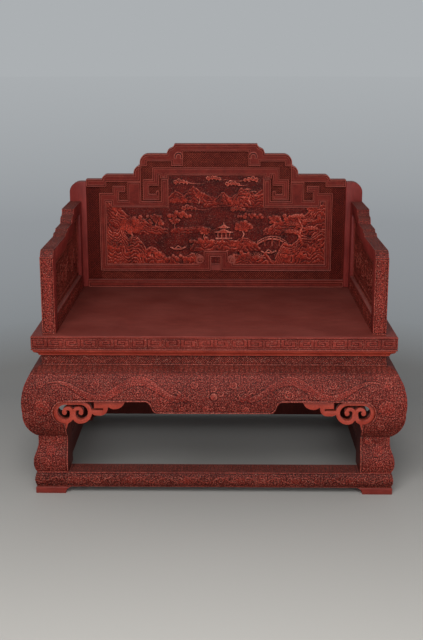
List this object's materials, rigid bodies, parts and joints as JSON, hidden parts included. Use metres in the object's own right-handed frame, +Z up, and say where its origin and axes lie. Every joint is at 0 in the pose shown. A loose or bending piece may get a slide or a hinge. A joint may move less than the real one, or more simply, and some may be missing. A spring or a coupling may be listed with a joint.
{
  "type": "throne chair",
  "caption": "Low wide throne in carved red lacquer with a stepped back, stepped arms, bulging legs and aprons, pierced corner brackets and a floor plinth.",
  "frame": {"origin": "on the floor under the middle of the throne's bounding box", "axes": "+X to the right of a viewer in front, +Y from the front to the back, +Z up"},
  "size_m": [1.2024, 0.8484, 1.054],
  "materials": {
    "carved_lacquer": "satin carved cinnabar lacquer",
    "bright_lacquer": "satin orange-red lacquer",
    "plain_lacquer": "smooth brown-red lacquer",
    "core_wood": "bare timber"
  },
  "bodies": {
    "base": {"apron_back": "carved_lacquer", "apron_front": "carved_lacquer", "apron_left": "carved_lacquer", "apron_right": "carved_lacquer", "bracket_back_first": "bright_lacquer", "bracket_back_second": "bright_lacquer", "bracket_front_first": "bright_lacquer", "bracket_front_second": "bright_lacquer", "bracket_left_first": "bright_lacquer", "bracket_left_second": "bright_lacquer", "bracket_right_first": "bright_lacquer", "bracket_right_second": "bright_lacquer", "leg_back_left": "carved_lacquer", "leg_back_right": "carved_lacquer", "leg_front_left": "carved_lacquer", "leg_front_right": "carved_lacquer", "petal_moulding_back": "carved_lacquer", "petal_moulding_front": "carved_lacquer", "petal_moulding_left": "carved_lacquer", "petal_moulding_right": "carved_lacquer", "plinth_foot_back_left": "bright_lacquer", "plinth_foot_back_right": "bright_lacquer", "plinth_foot_front_left": "bright_lacquer", "plinth_foot_front_right": "bright_lacquer", "plinth_rail_back": "carved_lacquer", "plinth_rail_front": "carved_lacquer", "plinth_rail_left": "carved_lacquer", "plinth_rail_right": "carved_lacquer", "seat_battens": "core_wood", "seat_panel": "plain_lacquer", "seat_rail_back": "carved_lacquer", "seat_rail_front": "carved_lacquer", "seat_rail_left": "carved_lacquer", "seat_rail_right": "carved_lacquer", "waist_board_back": "carved_lacquer", "waist_board_front": "carved_lacquer", "waist_board_left": "carved_lacquer", "waist_board_right": "carved_lacquer"},
    "back": {"back_board": "carved_lacquer", "back_bottom_rail": "plain_lacquer", "back_edge_border": "carved_lacquer", "back_fret_border": "carved_lacquer", "back_post_left": "plain_lacquer", "back_post_right": "plain_lacquer", "back_relief_panel": "carved_lacquer", "back_tenons": "core_wood"},
    "left_arm": {"left_arm_bottom_rail": "carved_lacquer", "left_arm_front_stile": "carved_lacquer", "left_arm_panel": "carved_lacquer", "left_arm_rear_stile": "carved_lacquer", "left_arm_tenons": "core_wood", "left_arm_top_rail": "carved_lacquer"},
    "right_arm": {"right_arm_bottom_rail": "carved_lacquer", "right_arm_front_stile": "carved_lacquer", "right_arm_panel": "carved_lacquer", "right_arm_rear_stile": "carved_lacquer", "right_arm_tenons": "core_wood", "right_arm_top_rail": "carved_lacquer"}
  },
  "joints": [
    {"name": "back_lift", "type": "slide", "parent": "base", "child": "back", "axis": [0, 0, 1], "range_m": [0, 0.05]},
    {"name": "left_arm_lift", "type": "slide", "parent": "base", "child": "left_arm", "axis": [0, 0, 1], "range_m": [0, 0.05]},
    {"name": "right_arm_lift", "type": "slide", "parent": "base", "child": "right_arm", "axis": [0, 0, 1], "range_m": [0, 0.05]}
  ]
}
